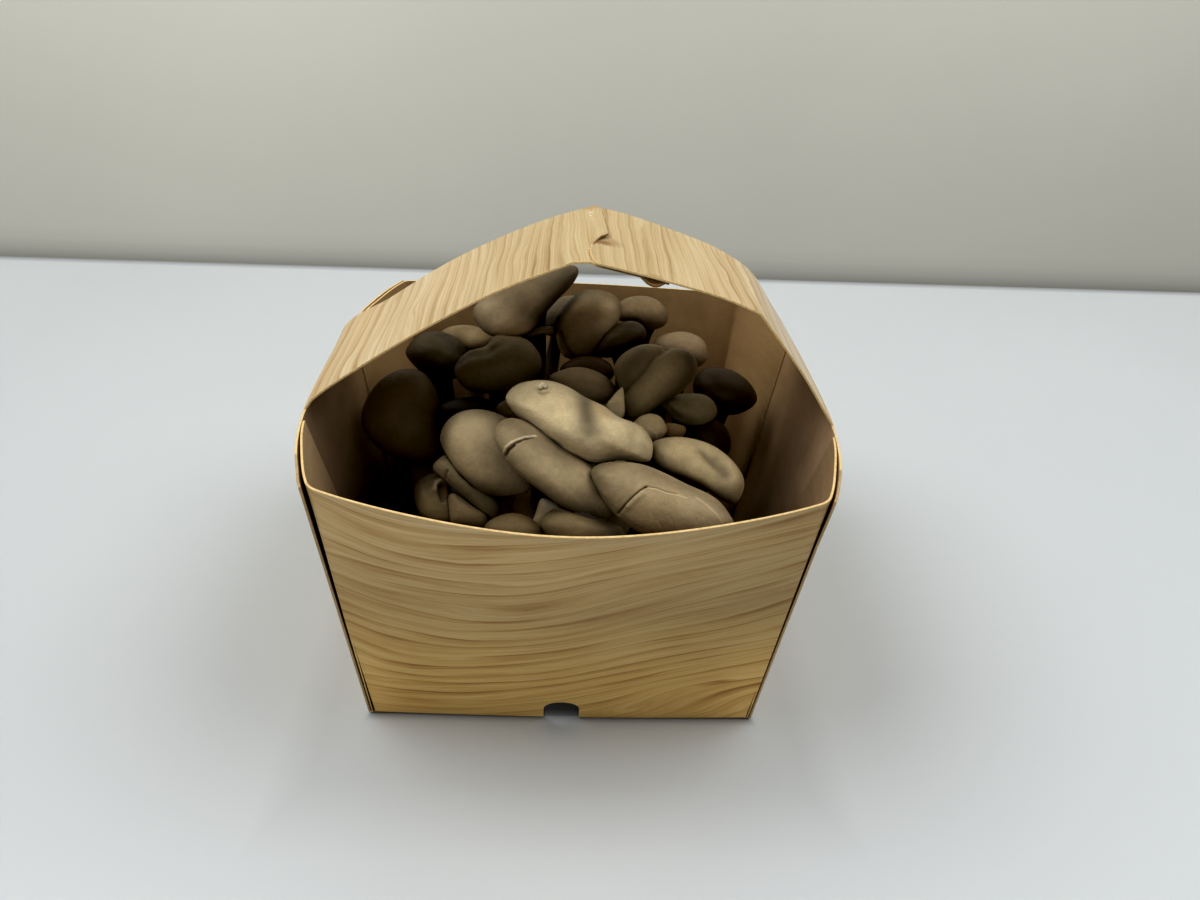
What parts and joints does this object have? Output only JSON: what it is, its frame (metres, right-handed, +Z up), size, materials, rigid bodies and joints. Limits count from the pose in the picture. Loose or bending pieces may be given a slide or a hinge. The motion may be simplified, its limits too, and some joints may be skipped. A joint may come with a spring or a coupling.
{
  "type": "carton basket of oyster mushrooms",
  "caption": "Open folded card basket with outward leaning walls and an arched interlocking handle, holding cut clusters of oyster mushrooms with domed kidney-shaped caps on stems.",
  "frame": {"origin": "middle of the underside of the basket's base panel", "axes": "+Z up out of the basket, -Y towards the front panel that the picture shows, +X to the right seen from the front, along the handle"},
  "size_m": [0.1856, 0.1997, 0.1631],
  "materials": {
    "card": "matte printed card with a wood grain outside, plain brown inside and cream cut edges",
    "pale_cap": "satin grey-beige mushroom skin with fine radial fibres",
    "dark_cap": "satin dark olive-brown mushroom skin",
    "stem": "matte off-white fibrous mushroom flesh",
    "foot": "matte cut mushroom flesh"
  },
  "bodies": {
    "root": {"base_panel": "card", "front_panel": "card", "back_panel": "card", "left_wall": "card", "right_wall": "card", "glue_flap_front_left": "card", "glue_flap_back_left": "card", "glue_flap_front_right": "card", "glue_flap_back_right": "card", "handle_arm_left": "card", "handle_arm_right": "card", "cap_long_top": "pale_cap", "cap_long_slit": "pale_cap", "cap_cracked": "pale_cap", "cap_right_bruised": "pale_cap", "cap_left_round": "pale_cap", "cap_curled": "pale_cap", "cap_front_middle": "pale_cap", "cap_front_left": "pale_cap", "cap_low_left": "pale_cap", "cap_tall_back": "dark_cap", "cap_back_double": "dark_cap", "cap_back_corner": "dark_cap", "cap_left_large": "dark_cap", "cap_left_low": "dark_cap", "cap_back_round": "dark_cap", "cap_back_lobe": "dark_cap", "cap_back_small": "dark_cap", "cap_kidney": "dark_cap", "cap_back_pale": "dark_cap", "cap_right_black": "dark_cap", "cap_right_low": "dark_cap", "cap_centre_low": "dark_cap", "cap_right_hidden": "dark_cap", "stem_long_top": "stem", "stem_long_slit": "stem", "stem_cracked": "stem", "stem_right_bruised": "stem", "stem_left_round": "stem", "stem_curled": "stem", "stem_front_middle": "stem", "stem_front_left": "stem", "stem_low_left": "stem", "stem_tall_back": "stem", "stem_back_double": "stem", "stem_back_corner": "stem", "stem_left_large": "stem", "stem_left_low": "stem", "stem_back_round": "stem", "stem_back_lobe": "stem", "stem_back_small": "stem", "stem_kidney": "stem", "stem_back_pale": "stem", "stem_right_black": "stem", "stem_right_low": "stem", "stem_centre_low": "stem", "stem_right_hidden": "stem", "front_cluster_foot": "foot", "back_left_cluster_foot": "foot", "back_right_cluster_foot": "foot"}
  },
  "joints": []
}
